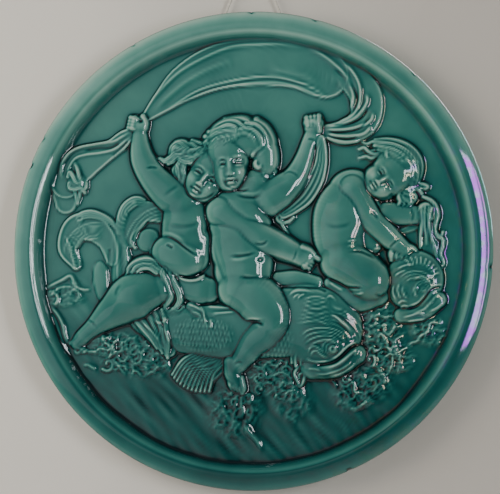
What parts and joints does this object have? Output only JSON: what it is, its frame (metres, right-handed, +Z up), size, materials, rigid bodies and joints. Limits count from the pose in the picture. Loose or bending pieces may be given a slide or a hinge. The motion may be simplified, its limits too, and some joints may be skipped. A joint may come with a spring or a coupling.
{
  "type": "decorative wall plaque",
  "caption": "Round moulded plaque in glazed earthenware: infant figures ride dolphins on the sea in relief, inside a plain raised rim, with a cord behind to hang it.",
  "frame": {"origin": "the hanging point, where the nail that carries the cord comes out of the wall, on the wall's plane and 245 mm above the plaque's centre", "axes": "+Z up, +Y into the wall, so the relief faces -Y and its right-hand side is +X; the wall is the plane y = 0"},
  "size_m": [0.3998, 0.0357, 0.4509],
  "materials": {
    "glaze": "gloss",
    "cotton": "matt"
  },
  "bodies": {
    "root": {"plaque": "glaze", "hanging_cord": "cotton", "knot_left": "cotton", "knot_right": "cotton"}
  },
  "joints": []
}
